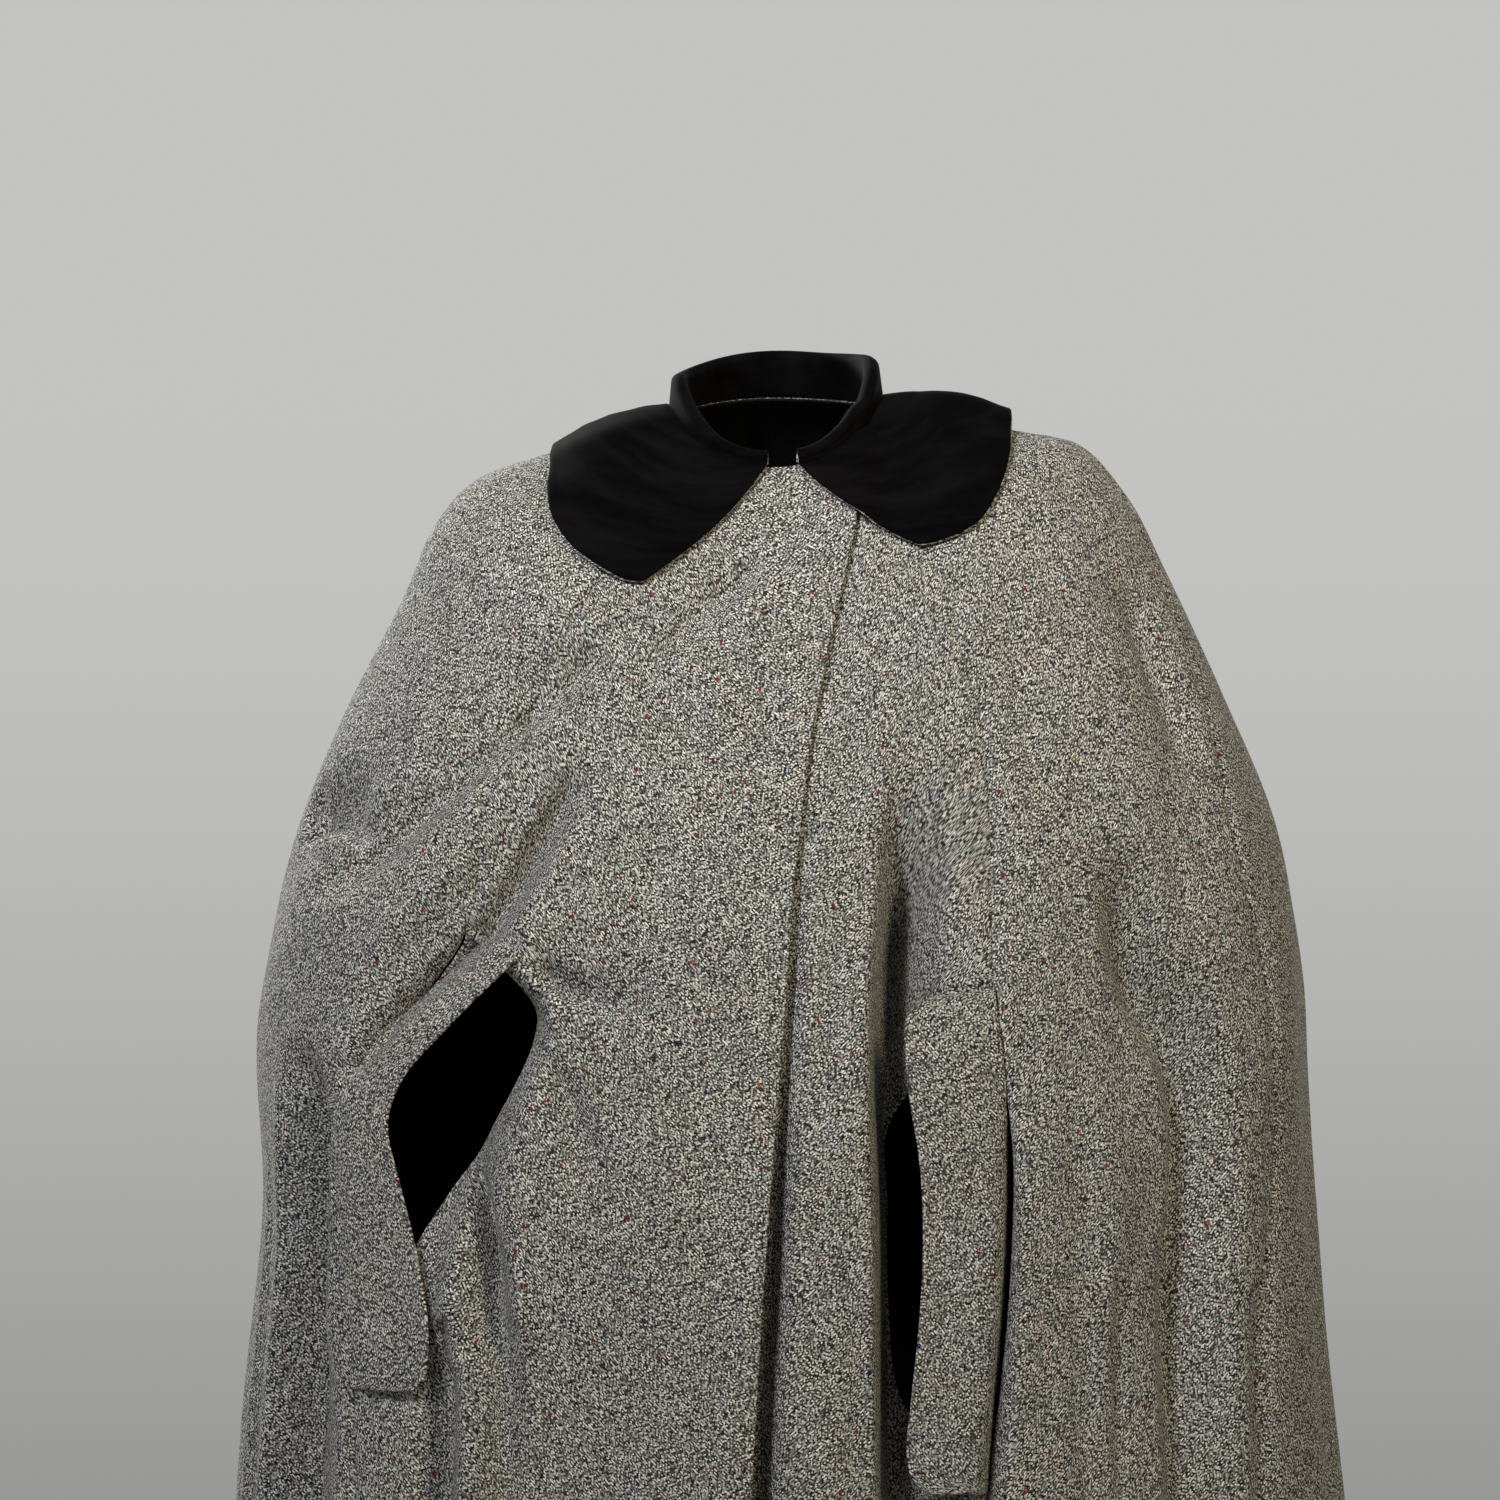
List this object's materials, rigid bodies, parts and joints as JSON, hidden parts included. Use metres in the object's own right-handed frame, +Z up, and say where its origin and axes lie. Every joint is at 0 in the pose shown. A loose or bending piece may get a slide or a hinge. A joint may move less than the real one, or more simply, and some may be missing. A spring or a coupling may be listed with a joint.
{
  "type": "wool cape coat",
  "caption": "Knee-length wool cape coat with a rounded velvet collar, a lapped front and welted arm slits, in its worn form.",
  "frame": {"origin": "middle of the neck base, level with the wearer's neck and shoulders, which hold the garment up", "axes": "+Z up; the front of the garment faces -Y; the wearer's left is at +X"},
  "size_m": [0.7041, 0.6181, 1.057],
  "materials": {
    "wool_tweed": "matt salt-and-pepper wool tweed with small coloured flecks",
    "velvet": "black cotton velvet with a soft pile sheen"
  },
  "bodies": {
    "root": {"front_right": "wool_tweed", "front_left": "wool_tweed", "side_front_right": "wool_tweed", "side_front_left": "wool_tweed", "back": "wool_tweed", "welt_right": "wool_tweed", "welt_left": "wool_tweed", "collar_top": "velvet", "collar_under": "wool_tweed"}
  },
  "joints": []
}
